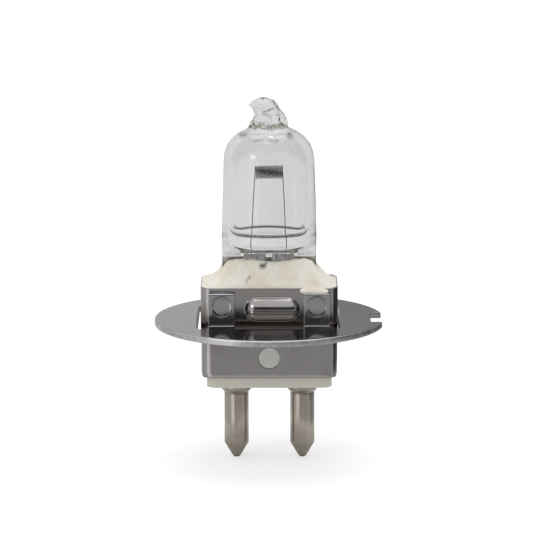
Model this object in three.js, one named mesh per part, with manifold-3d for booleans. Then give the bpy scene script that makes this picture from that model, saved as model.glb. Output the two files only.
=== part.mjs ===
// Quartz halogen lamp on a prefocus flange cap with two contact pins.
// Millimetres, +Z up. The origin is on the lamp's axis, in the plane of the flange's underside.
// +X points at the flange's notch and -Y is the front, where the two filament legs stand side by side.
import * as THREE from 'three';
import { mergeVertices } from 'three/addons/utils/BufferGeometryUtils.js';
import { ConvexGeometry } from 'three/addons/geometries/ConvexGeometry.js';
import Module from 'manifold-3d';

const wasm = await Module();
wasm.setup();

// ---- Flange ----
const flangeDiameter = 22;
const flangeThickness = 0.6;
const notchWidth = 4.4;
const notchDepth = 1.28;
const tongueWidth = 2.5;
const tongueHeight = 3.1; // above the flange's upper face
const tongueEdge = 0.75; // from the shell's side to the tongue's outer edge
const tongueBend = 0.15; // inside radius of the bend
const tongueRun = 1.35; // flat run from the opening's edge to the standing tongue
const weldDiameter = 1.85;
const weldDepth = 0.06;
const weldHeight = 1.84; // above the flange's upper face

// ---- Base shell, a drawn rectangular can open at both ends ----
const shellWidth = 13.05;
const shellDepth = 7;
const shellWall = 0.5;
const shellCorner = 1;
const shellAbove = 3.48; // rim above the flange's upper face
const shellBelow = 4.65; // lower edge below the flange's underside
const bossHeight = 2.3;
const bossProud = 0.7;
const bossEdge = 0.4; // rounding of the boss's outer edge
const bossMiddle = 1.48; // above the flange's upper face
const bossShift = 0.28; // how far the bosses sit towards the notch
const bossMargin = 0.8; // between a boss's end and the nearest tongue
const plugDiameter = 2.03;
const plugRise = 2; // plug's middle above the shell's lower edge
const plugSink = 0.6; // how far a plug reaches into the ceramic

// ---- Ceramic base ----
const baseHeight = 4.12;
const baseStandOut = 1.07; // below the shell's lower edge
const baseCorner = 0.9;

// ---- Contact pins ----
const pinPitch = 6.35;
const pinDiameter = 2.34;
const pinLength = 7.43; // below the ceramic
const pinPoint = 1.44; // length of the tapered end
const pinTipDiameter = 0.86;
const pinWall = 0.72;
const collarFlare = 0.43; // how far the collar stands out from the pin
const collarDrop = 0.5; // straight part of the collar below the ceramic
const swageFlare = 0.3; // rolled rim that holds the pin on top of the ceramic
const swageHeight = 0.35;
const solderHeight = 0.18; // solder standing out of the pin's tip hole
const tipHoleDiameter = 0.6;

// ---- Quartz envelope ----
const bulbDiameter = 9.08; // at the foot of the tube
const bulbNeckIn = 0.2; // how much the tube's radius narrows up to the dome
const bulbWall = 1.06;
const pressTop = 2.78; // top of the flat press above the shell's rim
const pressSlope = 1.65; // height in which the round tube turns into the flat press
const tubeHeight = 6.7; // round tube, from the slope's top to the dome
const domeHeight = 3.85;
const domeSquareness = 2.6; // exponent of the dome's superellipse
const pressThickness = 3;
const pressInset = 0.06; // press edge inside the tube's side
const pressCorner = 0.6;
const floorLift = 0.4; // cavity floor above the slope's top
const floorFillet = 0.5;
const tipDiameter = 4.05; // exhaust tip where it leaves the dome
const tipWaist = 2.7; // exhaust tip under its rounded end
const tipWaistHeight = 1.75;
const tipCap = 1.3;
const tipLean = 0.65; // how far the tip's end leans towards -X
const exhaustBore = 0.7;

// ---- Filament, foils and leads ----
const filamentWire = 0.13;
const filamentLength = 2.6;
const filamentDiameter = 1.22; // coil, to the middle of the wire
const filamentTurns = 13;
const filamentDrop = 0.44; // coil's axis below the dome's foot
const legSpread = 3.14; // between the legs where they enter the quartz
const foilWidth = 2.15;
const foilThickness = 0.1;
const foilPitch = 2.72;
const foilBelowFloor = 1.7; // foil's upper end below the cavity floor
const foilCover = 1.6; // quartz between the foil's lower end and the press's end
const weldLap = 0.8; // length that a leg or a lead overlaps its foil
const leadDiameter = 0.5;
const leadRoom = 2; // between the press's end and the ceramic, where the leads spread

// ---- Cement ----
const cementCrown = 0.35; // low crown over the shell's rim
const heapDrop = 0.36; // top of the heap around the press, below the press's head
const heapCover = 0.45; // cement over the press's faces at the heap's top
const heapShoulder = 0.85; // press edge that stays bare at the heap's top
const heapFoot = 1.3; // cement around the press at the heap's foot
const cementUnder = 0.3; // cement below the press's end

// ---- Clearances between pieces that touch or are bonded on the real lamp ----
const bond = 0.05;
const openingGap = 0.22; // open slit between the shell's sides and the flange

// ---- Fineness of the round shapes ----
const roundSides = 36;
const pinSides = 24;
const wireSides = 6;
const leadSides = 8;
const arcSteps = 3; // half the steps in each quarter circle
const domeSteps = 10;
const weldTolerance = 1e-4;

// ---- Heights worked out from the values above ----
const flangeTop = flangeThickness;
const rim = flangeTop + shellAbove;
const shellFoot = -shellBelow;
const baseFoot = shellFoot - baseStandOut;
const baseTop = baseFoot + baseHeight;
const pressEnd = baseTop + leadRoom;
const pressHead = rim + pressTop;
const slopeTop = pressHead + pressSlope;
const cavityFloor = slopeTop + floorLift;
const domeFoot = slopeTop + tubeHeight;
const foilHead = cavityFloor - foilBelowFloor;
const foilFoot = pressEnd + foilCover;
const coilHeight = domeFoot - filamentDrop;
const pinTip = baseFoot - pinLength;

// ---- Widths worked out from the values above ----
const bulbRadius = bulbDiameter / 2;
const neckRadius = bulbRadius - bulbNeckIn;
const pressWidth = bulbDiameter - 2 * pressInset;
const tongueOuter = shellWidth / 2 - tongueEdge;
const tongueInner = tongueOuter - tongueWidth;
const tongueFace = shellDepth / 2 + bond + flangeThickness;
const openingDepth = 2 * (tongueFace + tongueRun);
const openingWidth = shellWidth + 2 * openingGap;
const bossWidth = 2 * (tongueInner - bossMargin);
const insideWidth = shellWidth - 2 * shellWall;
const insideDepth = shellDepth - 2 * shellWall;
const insideCorner = Math.max(shellCorner - shellWall, 0.2);
const pinBore = pinDiameter - 2 * pinWall;
const plugHeight = shellFoot + plugRise;
const legY = -(foilThickness / 2 + bond + filamentWire / 2);
const leadY = -(foilThickness / 2 + bond + leadDiameter / 2);

const finishes = {
  quartz: { color: 0xd9dcdd, roughness: 0.05, metalness: 0 },
  tungsten: { color: 0x55565a, roughness: 0.45, metalness: 1 },
  molybdenum: { color: 0x74757a, roughness: 0.5, metalness: 1 },
  shell: { color: 0x8d888a, roughness: 0.25, metalness: 1 },
  flange: { color: 0x8c8e95, roughness: 0.3, metalness: 1 },
  pin: { color: 0xa79c8d, roughness: 0.28, metalness: 1 },
  solder: { color: 0x6f6c68, roughness: 0.5, metalness: 1 },
  ceramic: { color: 0xcfc9b8, roughness: 0.7, metalness: 0 },
  cement: { color: 0xd8d3c6, roughness: 0.95, metalness: 0 },
};

// ---- Turning three.js shapes into solids and back ----

function toSolid(geometry) {
  const bare = geometry.clone();
  bare.deleteAttribute('normal');
  bare.deleteAttribute('uv');
  const merged = mergeVertices(bare, weldTolerance);
  const corners = merged.index.array;
  const triangles = [];
  for (let i = 0; i < corners.length; i += 3) {
    const [a, b, c] = [corners[i], corners[i + 1], corners[i + 2]];
    if (a !== b && b !== c && c !== a) triangles.push(a, b, c);
  }
  return new wasm.Manifold(new wasm.Mesh({
    numProp: 3,
    vertProperties: Float32Array.from(merged.attributes.position.array),
    triVerts: Uint32Array.from(triangles),
  }));
}

function toGeometry(solid) {
  const mesh = solid.getMesh();
  const geometry = new THREE.BufferGeometry();
  geometry.setAttribute('position', new THREE.BufferAttribute(mesh.vertProperties, 3));
  geometry.setIndex(new THREE.BufferAttribute(mesh.triVerts, 1));
  geometry.computeVertexNormals();
  return geometry;
}

// ---- Outlines and basic bodies ----

// A rectangle with round corners, centred on the axis.
function roundedRectangle(width, depth, corner) {
  const x = width / 2 - corner;
  const y = depth / 2 - corner;
  const shape = new THREE.Shape();
  shape.absarc(x, -y, corner, -Math.PI / 2, 0);
  shape.absarc(x, y, corner, 0, Math.PI / 2);
  shape.absarc(-x, y, corner, Math.PI / 2, Math.PI);
  shape.absarc(-x, -y, corner, Math.PI, Math.PI * 1.5);
  return shape;
}

// An upright prism of an outline between two heights.
function prism(shape, low, high) {
  const geometry = new THREE.ExtrudeGeometry(shape, {
    depth: high - low,
    bevelEnabled: false,
    curveSegments: arcSteps,
  });
  return toSolid(geometry.translate(0, 0, low));
}

// A body turned about the Z axis from points of radius and height.
function turned(points, sides) {
  return toSolid(new THREE.LatheGeometry(points, sides).rotateX(Math.PI / 2));
}

function point(radius, height) {
  return new THREE.Vector2(radius, height);
}

// A round bar along Y.
function crossBar(diameter, x, yMiddle, z, length) {
  const bar = new THREE.CylinderGeometry(diameter / 2, diameter / 2, length, pinSides);
  return toSolid(bar.translate(x, yMiddle, z));
}

// A round wire through 3-D points: straight runs joined by rounded corners.
function wire(points, diameter, bend, steps) {
  const path = new THREE.CurvePath();
  let start = points[0];
  for (let i = 1; i < points.length - 1; i += 1) {
    const corner = points[i];
    const before = corner.clone().sub(points[i - 1]).setLength(bend);
    const after = points[i + 1].clone().sub(corner).setLength(bend);
    const enter = corner.clone().sub(before);
    const leave = corner.clone().add(after);
    path.add(new THREE.LineCurve3(start, enter));
    path.add(new THREE.QuadraticBezierCurve3(enter, corner, leave));
    start = leave;
  }
  path.add(new THREE.LineCurve3(start, points[points.length - 1]));
  return sweptRound(path, diameter, steps, leadSides);
}

// A round section carried along a path.
function sweptRound(path, diameter, steps, sides) {
  const section = new THREE.Shape();
  section.absarc(0, 0, diameter / 2, 0, Math.PI * 2);
  return toSolid(new THREE.ExtrudeGeometry(section, {
    steps,
    extrudePath: path,
    curveSegments: sides / 2,
  }));
}

// ---- Quartz envelope ----

// Radius and height of the tube, which narrows slightly upwards, and of the dome, a superellipse.
function outerProfile() {
  const points = [point(0, pressHead), point(bulbRadius, pressHead), point(bulbRadius, slopeTop)];
  for (let i = 0; i <= domeSteps; i += 1) {
    const rise = (i / domeSteps) ** 0.7 * 0.93;
    const radius = neckRadius * (1 - rise ** domeSquareness) ** (1 / domeSquareness);
    if (radius > tipDiameter / 2) points.push(point(radius, domeFoot + rise * domeHeight));
  }
  return points;
}

// The exhaust tip: a short cone that ends in a rounded cap, leaning to one side.
function tipProfile(foot) {
  const points = [point(tipDiameter / 2, foot), point(tipWaist / 2, foot + tipWaistHeight)];
  for (let i = 1; i <= arcSteps; i += 1) {
    const turn = (i / arcSteps) * (Math.PI / 2);
    const radius = i === arcSteps ? 0 : (tipWaist / 2) * Math.cos(turn);
    points.push(point(radius, foot + tipWaistHeight + tipCap * Math.sin(turn)));
  }
  return points;
}

function bulbOutside() {
  const profile = outerProfile();
  const foot = profile[profile.length - 1].y + (profile[profile.length - 1].x - tipDiameter / 2) * 0.5;
  const geometry = new THREE.LatheGeometry([...profile, ...tipProfile(foot)], roundSides);
  geometry.rotateX(Math.PI / 2);
  const position = geometry.attributes.position;
  const leanFrom = foot + tipWaistHeight * 0.8;
  const leanTo = foot + tipWaistHeight + tipCap;
  for (let i = 0; i < position.count; i += 1) {
    const share = THREE.MathUtils.smoothstep(position.getZ(i), leanFrom, leanTo);
    position.setX(i, position.getX(i) - share * tipLean);
  }
  return toSolid(geometry);
}

// Two flanks that squeeze the round tube down to the press, seen from the side.
function pressFlanks() {
  const thin = pressThickness / 2;
  const wide = bulbRadius + 1;
  const top = domeFoot + domeHeight + tipWaistHeight + tipCap + 1;
  const shape = new THREE.Shape();
  shape.moveTo(-thin, pressEnd - 1);
  shape.lineTo(thin, pressEnd - 1);
  shape.lineTo(thin, pressHead);
  shape.lineTo(bulbRadius, slopeTop);
  shape.lineTo(wide, slopeTop + 0.4);
  shape.lineTo(wide, top);
  shape.lineTo(-wide, top);
  shape.lineTo(-wide, slopeTop + 0.4);
  shape.lineTo(-bulbRadius, slopeTop);
  shape.lineTo(-thin, pressHead);
  const length = 2 * wide;
  const geometry = new THREE.ExtrudeGeometry(shape, { depth: length, bevelEnabled: false });
  geometry.rotateX(Math.PI / 2);
  geometry.rotateZ(Math.PI / 2);
  geometry.translate(-length / 2, 0, 0);
  return toSolid(geometry);
}

function press(grow) {
  const outline = roundedRectangle(pressWidth + 2 * grow, pressThickness + 2 * grow, pressCorner + grow);
  return prism(outline, pressEnd - grow, pressHead + 0.2);
}

// The gas space: a flat floor with a fillet, a straight wall, a dome and the closed exhaust bore.
function cavity() {
  const radius = bulbRadius - bulbWall;
  const neck = neckRadius - bulbWall;
  const points = [point(0, cavityFloor)];
  for (let i = 0; i <= arcSteps; i += 1) {
    const turn = (i / arcSteps) * (Math.PI / 2);
    points.push(point(
      radius - floorFillet + floorFillet * Math.sin(turn),
      cavityFloor + floorFillet - floorFillet * Math.cos(turn),
    ));
  }
  const innerDome = domeHeight - bulbWall;
  for (let i = 0; i <= arcSteps; i += 1) {
    const turn = (i / arcSteps) * (Math.PI / 2) * 0.85;
    points.push(point(neck * Math.cos(turn), domeFoot + innerDome * Math.sin(turn)));
  }
  points.push(point(exhaustBore / 2, domeFoot + innerDome));
  points.push(point(exhaustBore / 2, domeFoot + domeHeight));
  points.push(point(0, domeFoot + domeHeight + exhaustBore / 2));
  return turned(points, roundSides);
}

function quartzEnvelope() {
  let solid = bulbOutside().intersect(pressFlanks()).add(press(0)).subtract(cavity());
  for (const side of [-1, 1]) {
    solid = solid.subtract(foil(side, bond));
    solid = solid.subtract(legChannel(side));
    solid = solid.subtract(lead(side, 2 * bond));
  }
  return solid;
}

// ---- Filament: left leg, coil and right leg in one wire ----

function legFoot(side) {
  return new THREE.Vector3(side * (legSpread / 2), legY, foilHead - weldLap);
}

function filament() {
  const radius = filamentDiameter / 2;
  const points = [];
  const turnSteps = 9;
  const steps = Math.round((filamentTurns + 0.5) * turnSteps);
  const left = new THREE.Vector3(-filamentLength / 2, -radius, coilHeight);
  const right = new THREE.Vector3(filamentLength / 2, radius, coilHeight);
  const leftFloor = new THREE.Vector3(-legSpread / 2, legY, cavityFloor);
  const rightFloor = new THREE.Vector3(legSpread / 2, legY, cavityFloor);
  points.push(legFoot(-1), leftFloor);
  points.push(left.clone().lerp(leftFloor, 0.5), left.clone().lerp(leftFloor, 0.1));
  for (let i = 0; i <= steps; i += 1) {
    const turn = Math.PI + (i / turnSteps) * Math.PI * 2;
    points.push(new THREE.Vector3(
      -filamentLength / 2 + (filamentLength * i) / steps,
      radius * Math.cos(turn),
      coilHeight - radius * Math.sin(turn),
    ));
  }
  points.push(right.clone().lerp(rightFloor, 0.1), right.clone().lerp(rightFloor, 0.5));
  points.push(rightFloor, legFoot(1));
  const path = new THREE.CatmullRomCurve3(points, false, 'centripetal');
  return sweptRound(path, filamentWire, steps + 50, wireSides);
}

// The hole that a leg leaves in the quartz between the cavity and its foil.
function legChannel(side) {
  const diameter = filamentWire + 2 * bond;
  const foot = legFoot(side);
  const high = cavityFloor + bond;
  const low = foot.z - bond;
  const bar = new THREE.CylinderGeometry(diameter / 2, diameter / 2, high - low, 8);
  bar.rotateX(Math.PI / 2);
  return toSolid(bar.translate(foot.x, foot.y, (high + low) / 2));
}

// ---- Foils and leads ----

function foil(side, grow) {
  const width = foilWidth + 2 * grow;
  const thickness = foilThickness + 2 * grow;
  const height = foilHead - foilFoot + 2 * grow;
  const plate = new THREE.BoxGeometry(width, thickness, height);
  return toSolid(plate.translate(side * foilPitch / 2, 0, (foilHead + foilFoot) / 2));
}

// A lead from its foil, out of the press, across to its pin and down the pin's bore.
function lead(side, grow) {
  const foilX = side * foilPitch / 2;
  const pinX = side * pinPitch / 2;
  const points = [
    new THREE.Vector3(foilX, leadY, foilFoot + weldLap + grow),
    new THREE.Vector3(foilX, leadY, pressEnd - leadRoom * 0.15),
    new THREE.Vector3(pinX, 0, baseTop + swageHeight + leadRoom * 0.05),
    new THREE.Vector3(pinX, 0, pinTip + solderHeight + bond),
  ];
  return wire(points, leadDiameter + 2 * grow, leadRoom * 0.1, 26);
}

// ---- Cap ----

function tongueProfile() {
  const inner = tongueFace - flangeThickness;
  const outerBend = tongueBend + flangeThickness;
  const root = openingDepth / 2 + 0.4;
  const shape = new THREE.Shape();
  shape.moveTo(root, 0);
  shape.lineTo(root, flangeThickness);
  shape.lineTo(tongueFace + tongueBend, flangeThickness);
  shape.absarc(tongueFace + tongueBend, outerBend, tongueBend, -Math.PI / 2, -Math.PI, true);
  shape.lineTo(tongueFace, flangeTop + tongueHeight);
  shape.lineTo(inner, flangeTop + tongueHeight);
  shape.lineTo(inner, outerBend);
  shape.absarc(inner + outerBend, outerBend, outerBend, Math.PI, Math.PI * 1.5);
  return shape;
}

// One tongue at the back right; the others are turned or mirrored copies.
function tongue(side) {
  const geometry = new THREE.ExtrudeGeometry(tongueProfile(), {
    depth: tongueWidth,
    bevelEnabled: false,
    curveSegments: arcSteps,
  });
  geometry.rotateX(Math.PI / 2);
  geometry.rotateZ(Math.PI / 2);
  geometry.translate(side > 0 ? tongueInner : -tongueOuter, 0, 0);
  const middle = side * (tongueInner + tongueOuter) / 2;
  const dimple = crossBar(weldDiameter, middle, tongueFace, flangeTop + weldHeight, 2 * weldDepth);
  return toSolid(geometry).subtract(dimple);
}

function flangeOutline() {
  const radius = flangeDiameter / 2;
  const half = notchWidth / 2;
  const mouth = Math.asin(half / radius);
  const shape = new THREE.Shape();
  shape.absarc(0, 0, radius, mouth, Math.PI * 2 - mouth);
  shape.lineTo(radius - notchDepth, -half);
  shape.lineTo(radius - notchDepth, half);
  return shape;
}

function prefocusFlange() {
  const plate = new THREE.ExtrudeGeometry(flangeOutline(), {
    depth: flangeThickness,
    bevelEnabled: false,
    curveSegments: roundSides,
  });
  const opening = prism(roundedRectangle(openingWidth, openingDepth, 0.4), -1, flangeTop + 1);
  let solid = toSolid(plate).subtract(opening);
  for (const side of [-1, 1]) {
    solid = solid.add(tongue(side));
    solid = solid.add(tongue(side).rotate([0, 0, 180]));
  }
  return solid;
}

// A stadium-shaped boss on the front face, from a depth `back` to a depth `proud` in front of the axis.
function boss(shrink, back, proud, edge) {
  const width = bossWidth - 2 * shrink;
  const height = bossHeight - 2 * shrink;
  const end = height / 2 - edge;
  const reach = width / 2 - height / 2;
  const shape = new THREE.Shape();
  shape.absarc(reach, 0, end, -Math.PI / 2, Math.PI / 2);
  shape.absarc(-reach, 0, end, Math.PI / 2, Math.PI * 1.5);
  const geometry = new THREE.ExtrudeGeometry(shape, {
    depth: proud - edge - back,
    bevelThickness: edge,
    bevelSize: edge,
    bevelSegments: 3,
    curveSegments: 2 * arcSteps,
  });
  geometry.translate(0, 0, back);
  geometry.rotateX(Math.PI / 2);
  return toSolid(geometry.translate(bossShift, 0, flangeTop + bossMiddle));
}

function baseShell() {
  let solid = prism(roundedRectangle(shellWidth, shellDepth, shellCorner), shellFoot, rim);
  const face = shellDepth / 2;
  const outside = boss(0, face - shellWall / 2, face + bossProud, bossEdge);
  const hollow = boss(shellWall * 0.8, face - 2 * shellWall, face + bossProud - shellWall, bossEdge / 2);
  solid = solid.add(outside).add(outside.rotate([0, 0, 180]));
  const inside = roundedRectangle(insideWidth, insideDepth, insideCorner);
  solid = solid.subtract(prism(inside, shellFoot - 1, rim + 1));
  solid = solid.subtract(hollow).subtract(hollow.rotate([0, 0, 180]));
  return solid.subtract(crossBar(plugDiameter, 0, 0, plugHeight, shellDepth + 2));
}

function ceramicBase() {
  const width = insideWidth - 2 * bond;
  const depth = insideDepth - 2 * bond;
  let solid = prism(roundedRectangle(width, depth, baseCorner), baseFoot, baseTop);
  for (const side of [-1, 1]) {
    const radius = pinDiameter / 2 + bond;
    const hole = new THREE.CylinderGeometry(radius, radius, baseHeight + 2, pinSides);
    hole.rotateX(Math.PI / 2);
    hole.translate(side * pinPitch / 2, 0, (baseFoot + baseTop) / 2);
    solid = solid.subtract(toSolid(hole));
    const recess = crossBar(plugDiameter, 0, side * depth / 2, plugHeight, 2 * plugSink);
    solid = solid.subtract(recess);
  }
  return solid;
}

function cementPlug(side) {
  const outer = shellDepth / 2 - bond;
  const inner = insideDepth / 2 - plugSink;
  const middle = side * (outer + inner) / 2;
  return crossBar(plugDiameter - 2 * bond, 0, middle, plugHeight, outer - inner);
}

// A hollow pin: swaged rim, shank through the ceramic, collar, straight contact and tapered end.
function pin(side) {
  const radius = pinDiameter / 2;
  const collar = radius + collarFlare;
  const bore = pinBore / 2;
  const hole = tipHoleDiameter / 2;
  const boreFoot = pinTip + solderHeight + pinPoint * 0.5;
  const points = [
    point(hole, pinTip + solderHeight),
    point(pinTipDiameter / 2, pinTip + solderHeight),
    point(radius, pinTip + pinPoint),
    point(radius, baseFoot - collarDrop - collarFlare),
    point(collar, baseFoot - collarDrop),
    point(collar, baseFoot - bond),
    point(radius, baseFoot - bond),
    point(radius, baseTop + bond),
    point(radius + swageFlare, baseTop + bond),
    point(radius + swageFlare * 0.6, baseTop + swageHeight),
    point(bore, baseTop + swageHeight),
    point(bore, boreFoot),
    point(hole, boreFoot - (bore - hole)),
    point(hole, pinTip + solderHeight),
  ];
  return turned(points, pinSides).translate([side * pinPitch / 2, 0, 0]);
}

// A low bead that closes the tip hole from outside.
function solder(side) {
  const radius = pinTipDiameter / 2;
  const top = pinTip + solderHeight - bond;
  const points = [
    point(0, pinTip),
    point(radius * 0.55, pinTip),
    point(radius * 0.9, pinTip + solderHeight * 0.35),
    point(radius, top),
    point(0, top),
  ];
  return turned(points, pinSides / 2).translate([side * pinPitch / 2, 0, 0]);
}

// ---- Cement ----

// A tapered block between two rounded rectangles.
function taper(low, high) {
  const corners = [];
  for (const level of [low, high]) {
    for (const corner of roundedRectangle(level.width, level.depth, level.corner).getPoints(arcSteps)) {
      corners.push(new THREE.Vector3(corner.x, corner.y, level.z));
    }
  }
  return toSolid(new ConvexGeometry(corners));
}

function cement() {
  const width = insideWidth - 2 * bond;
  const depth = insideDepth - 2 * bond;
  const corner = insideCorner;
  const crown = { width: width - 1.4, depth: depth - 1.4, corner: 0.4, z: rim + cementCrown };
  const fill = prism(roundedRectangle(width, depth, corner), pressEnd - cementUnder, rim);
  const cap = taper({ width, depth, corner, z: rim - 0.2 }, crown);
  const heap = taper(
    {
      width: Math.min(pressWidth + 2 * heapFoot, width),
      depth: Math.min(pressThickness + 2 * heapFoot, depth),
      corner: 0.6,
      z: rim - 0.2,
    },
    {
      width: pressWidth - 2 * heapShoulder,
      depth: pressThickness + 2 * heapCover,
      corner: 0.4,
      z: pressHead - heapDrop,
    },
  );
  let solid = fill.add(cap).add(heap).subtract(press(bond));
  for (const side of [-1, 1]) solid = solid.subtract(lead(side, 2 * bond));
  return solid;
}

// ---- Assembly ----

function piece(name, solid, finish) {
  const mesh = new THREE.Mesh(toGeometry(solid), new THREE.MeshStandardMaterial(finishes[finish]));
  mesh.name = name;
  return mesh;
}

const bulb = new THREE.Group();
bulb.add(piece('quartz_envelope', quartzEnvelope(), 'quartz'));
bulb.add(piece('filament', filament(), 'tungsten'));

const cap = new THREE.Group();
cap.add(piece('base_shell', baseShell(), 'shell'));
cap.add(piece('prefocus_flange', prefocusFlange(), 'flange'));
cap.add(piece('ceramic_base', ceramicBase(), 'ceramic'));
cap.add(piece('cement', cement(), 'cement'));
cap.add(piece('cement_plug_front', cementPlug(-1), 'cement'));
cap.add(piece('cement_plug_back', cementPlug(1), 'cement'));

for (const [side, name] of [[-1, 'left'], [1, 'right']]) {
  bulb.add(piece(`foil_${name}`, foil(side, 0), 'molybdenum'));
  bulb.add(piece(`lead_${name}`, lead(side, 0), 'molybdenum'));
  cap.add(piece(`pin_${name}`, pin(side), 'pin'));
  cap.add(piece(`solder_${name}`, solder(side), 'solder'));
}

const lamp = new THREE.Group();
lamp.add(bulb, cap);

export default lamp;
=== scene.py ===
"""Looks of a quartz halogen lamp on a prefocus flange cap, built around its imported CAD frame.

Shapes are worked out in millimetres on numpy grids and put into the meshes in metres.
+Z runs up the lamp's axis, +X points at the flange's notch and -Y is the front.
"""
import math

import bpy
import numpy as np
from mathutils import Matrix, Vector


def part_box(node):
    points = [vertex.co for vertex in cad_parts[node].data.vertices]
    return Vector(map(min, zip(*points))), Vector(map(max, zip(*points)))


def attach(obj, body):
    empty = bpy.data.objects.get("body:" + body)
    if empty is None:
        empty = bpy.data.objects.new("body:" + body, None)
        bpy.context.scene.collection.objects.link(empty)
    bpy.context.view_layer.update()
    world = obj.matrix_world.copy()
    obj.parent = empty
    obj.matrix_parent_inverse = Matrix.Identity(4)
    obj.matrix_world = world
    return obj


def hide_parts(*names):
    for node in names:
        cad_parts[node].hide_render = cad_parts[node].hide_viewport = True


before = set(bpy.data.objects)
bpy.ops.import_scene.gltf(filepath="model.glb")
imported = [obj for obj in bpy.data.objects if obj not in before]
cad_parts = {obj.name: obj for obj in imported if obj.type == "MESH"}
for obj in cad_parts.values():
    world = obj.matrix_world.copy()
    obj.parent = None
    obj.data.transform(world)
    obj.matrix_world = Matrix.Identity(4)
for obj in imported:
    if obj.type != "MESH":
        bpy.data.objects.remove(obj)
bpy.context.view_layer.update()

MM = 0.001


# ---- Driving sizes in millimetres: the CAD nodes' boxes, and sizes that no box holds ----

def node_box(node):
    """Lowest and highest corner of a CAD node in millimetres."""
    low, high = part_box(node)
    return np.array(low) / MM, np.array(high) / MM


bulb_low, bulb_high = node_box("quartz_envelope")
shell_low, shell_high = node_box("base_shell")
_, flange_high = node_box("prefocus_flange")
base_low, base_high = node_box("ceramic_base")
cement_low, _ = node_box("cement")
pin_low, pin_high = node_box("pin_right")
solder_low, _ = node_box("solder_right")
_, coil_high = node_box("filament")
foil_low, foil_high = node_box("foil_right")
plug_low, plug_high = node_box("cement_plug_front")

BULB_RADIUS = bulb_high[1]
BULB_NARROWING = 0.2
CAVITY_RADIUS = BULB_RADIUS - 1.06
DOME_RADIUS = BULB_RADIUS - BULB_NARROWING
PRESS_HALF = 1.5
PRESS_INSET = 0.06
PRESS_HEAD = 6.86
SLOPE_FOOT = PRESS_HEAD - 0.15
SLOPE_TOP = 8.5
PINCH_TOP = 7.5
RIDGE_HEIGHT = 8.96
RIDGE_HALF_WIDTH = 3.40
DOME_FOOT = 15.2
DOME_HEIGHT = 3.85
TIP_START = 3.53
DOME_SQUARENESS = 2.6
RIM = shell_high[2]
SHELL_FOOT = shell_low[2]
SHELL_WALL = 0.5
SHELL_CORNER = 1.0
BOSS_PROUD = 0.7
BOSS_SHIFT = 0.28
SHELL_HALF_WIDTH = shell_high[0]
SHELL_HALF_DEPTH = shell_high[1] - BOSS_PROUD
PLUG_HEIGHT = (plug_low[2] + plug_high[2]) / 2
HOLE_RADIUS = (plug_high[0] - plug_low[0]) / 2 + 0.05
FLANGE_RADIUS = flange_high[1]
FLANGE_THICKNESS = 0.6
PIN_X = (pin_low[0] + pin_high[0]) / 2
PIN_RADIUS = 1.17
FLOOR_HEIGHT = solder_low[2]


# ---- Grids and meshes ----

def stacked(*values):
    """Values as the columns of one array, each spread over the shape of the others."""
    return np.stack(np.broadcast_arrays(*values), axis=-1)


def grid_quads(rows, columns, wrap_columns=True, wrap_rows=False):
    """Four-sided faces of a grid of points stored row by row, closed round either way if asked."""
    row = np.arange(rows if wrap_rows else rows - 1)
    column = np.arange(columns if wrap_columns else columns - 1)
    r, c = np.meshgrid(row, column, indexing="ij")
    r_next, c_next = (r + 1) % rows, (c + 1) % columns
    corners = [r * columns + c, r * columns + c_next, r_next * columns + c_next, r_next * columns + c]
    return np.stack(corners, axis=-1).reshape(-1, 4)


def skin(loops, start_pole=None, end_pole=None, flip=False):
    """A surface through closed loops, rows x columns x 3, with fans of triangles to a point at its ends."""
    rows, columns = loops.shape[:2]
    points = [loops.reshape(-1, 3)]
    faces = [grid_quads(rows, columns)]
    here = np.arange(columns)
    count = rows * columns
    for pole, row, forward in ((start_pole, 0, False), (end_pole, rows - 1, True)):
        if pole is None:
            continue
        points.append(np.array(pole, dtype=float).reshape(1, 3))
        first = row * columns + here
        second = row * columns + (here + 1) % columns
        faces.append(stacked(first, second, count) if forward else stacked(second, first, count))
        count += 1
    if flip:
        faces = [face[:, ::-1] for face in faces]
    return np.vstack(points), faces


def joined(*skins):
    """Several skins as the points and faces of one mesh."""
    points, faces, count = [], [], 0
    for skin_points, skin_faces in skins:
        points.append(skin_points)
        faces += [face + count for face in skin_faces]
        count += len(skin_points)
    return np.vstack(points), faces


def lifted(outline, height):
    """A flat outline at one height, or with a height for each of its points."""
    return stacked(outline[:, 0], outline[:, 1], height)


def around(count):
    """Angles evenly spaced all the way round."""
    return np.arange(count) / count * 2 * np.pi


def mesh_object(name, shape, material):
    """An object of the scene from points in millimetres and faces."""
    points, faces = shape
    mesh = bpy.data.meshes.new(name)
    mesh.from_pydata((points * MM).tolist(), [], [corner for face in faces for corner in face.tolist()])
    mesh.materials.append(material)
    made = bpy.data.objects.new(name, mesh)
    bpy.context.scene.collection.objects.link(made)
    return made


def make_piece(name, shape, material, replaced=()):
    """A smooth mesh object, riding on the lamp's one body."""
    piece = mesh_object(name, shape, material)
    piece.data.polygons.foreach_set("use_smooth", np.ones(len(piece.data.polygons), dtype=bool))
    piece.data.update()
    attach(piece, "root")
    if replaced:
        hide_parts(*replaced)
    return piece


def add_material(piece, material, chosen):
    """A second material, put on the chosen faces."""
    piece.data.materials.append(material)
    piece.data.polygons.foreach_set("material_index", chosen.astype(np.int32))


def store_marks(piece, formula):
    """Keeps a formula's value at every point of a piece, for its material."""
    points = np.array([vertex.co for vertex in piece.data.vertices]) / MM
    marks = piece.data.attributes.new("marks", "FLOAT", "POINT")
    marks.data.foreach_set("value", formula(points))


def soften_edges(piece, width, angle):
    """A bevel of two segments, width in millimetres, on edges sharper than the angle in degrees."""
    bevel = piece.modifiers.new("soft_edges", "BEVEL")
    bevel.width = width * MM
    bevel.segments = 2
    bevel.limit_method = "ANGLE"
    bevel.angle_limit = math.radians(angle)


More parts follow.
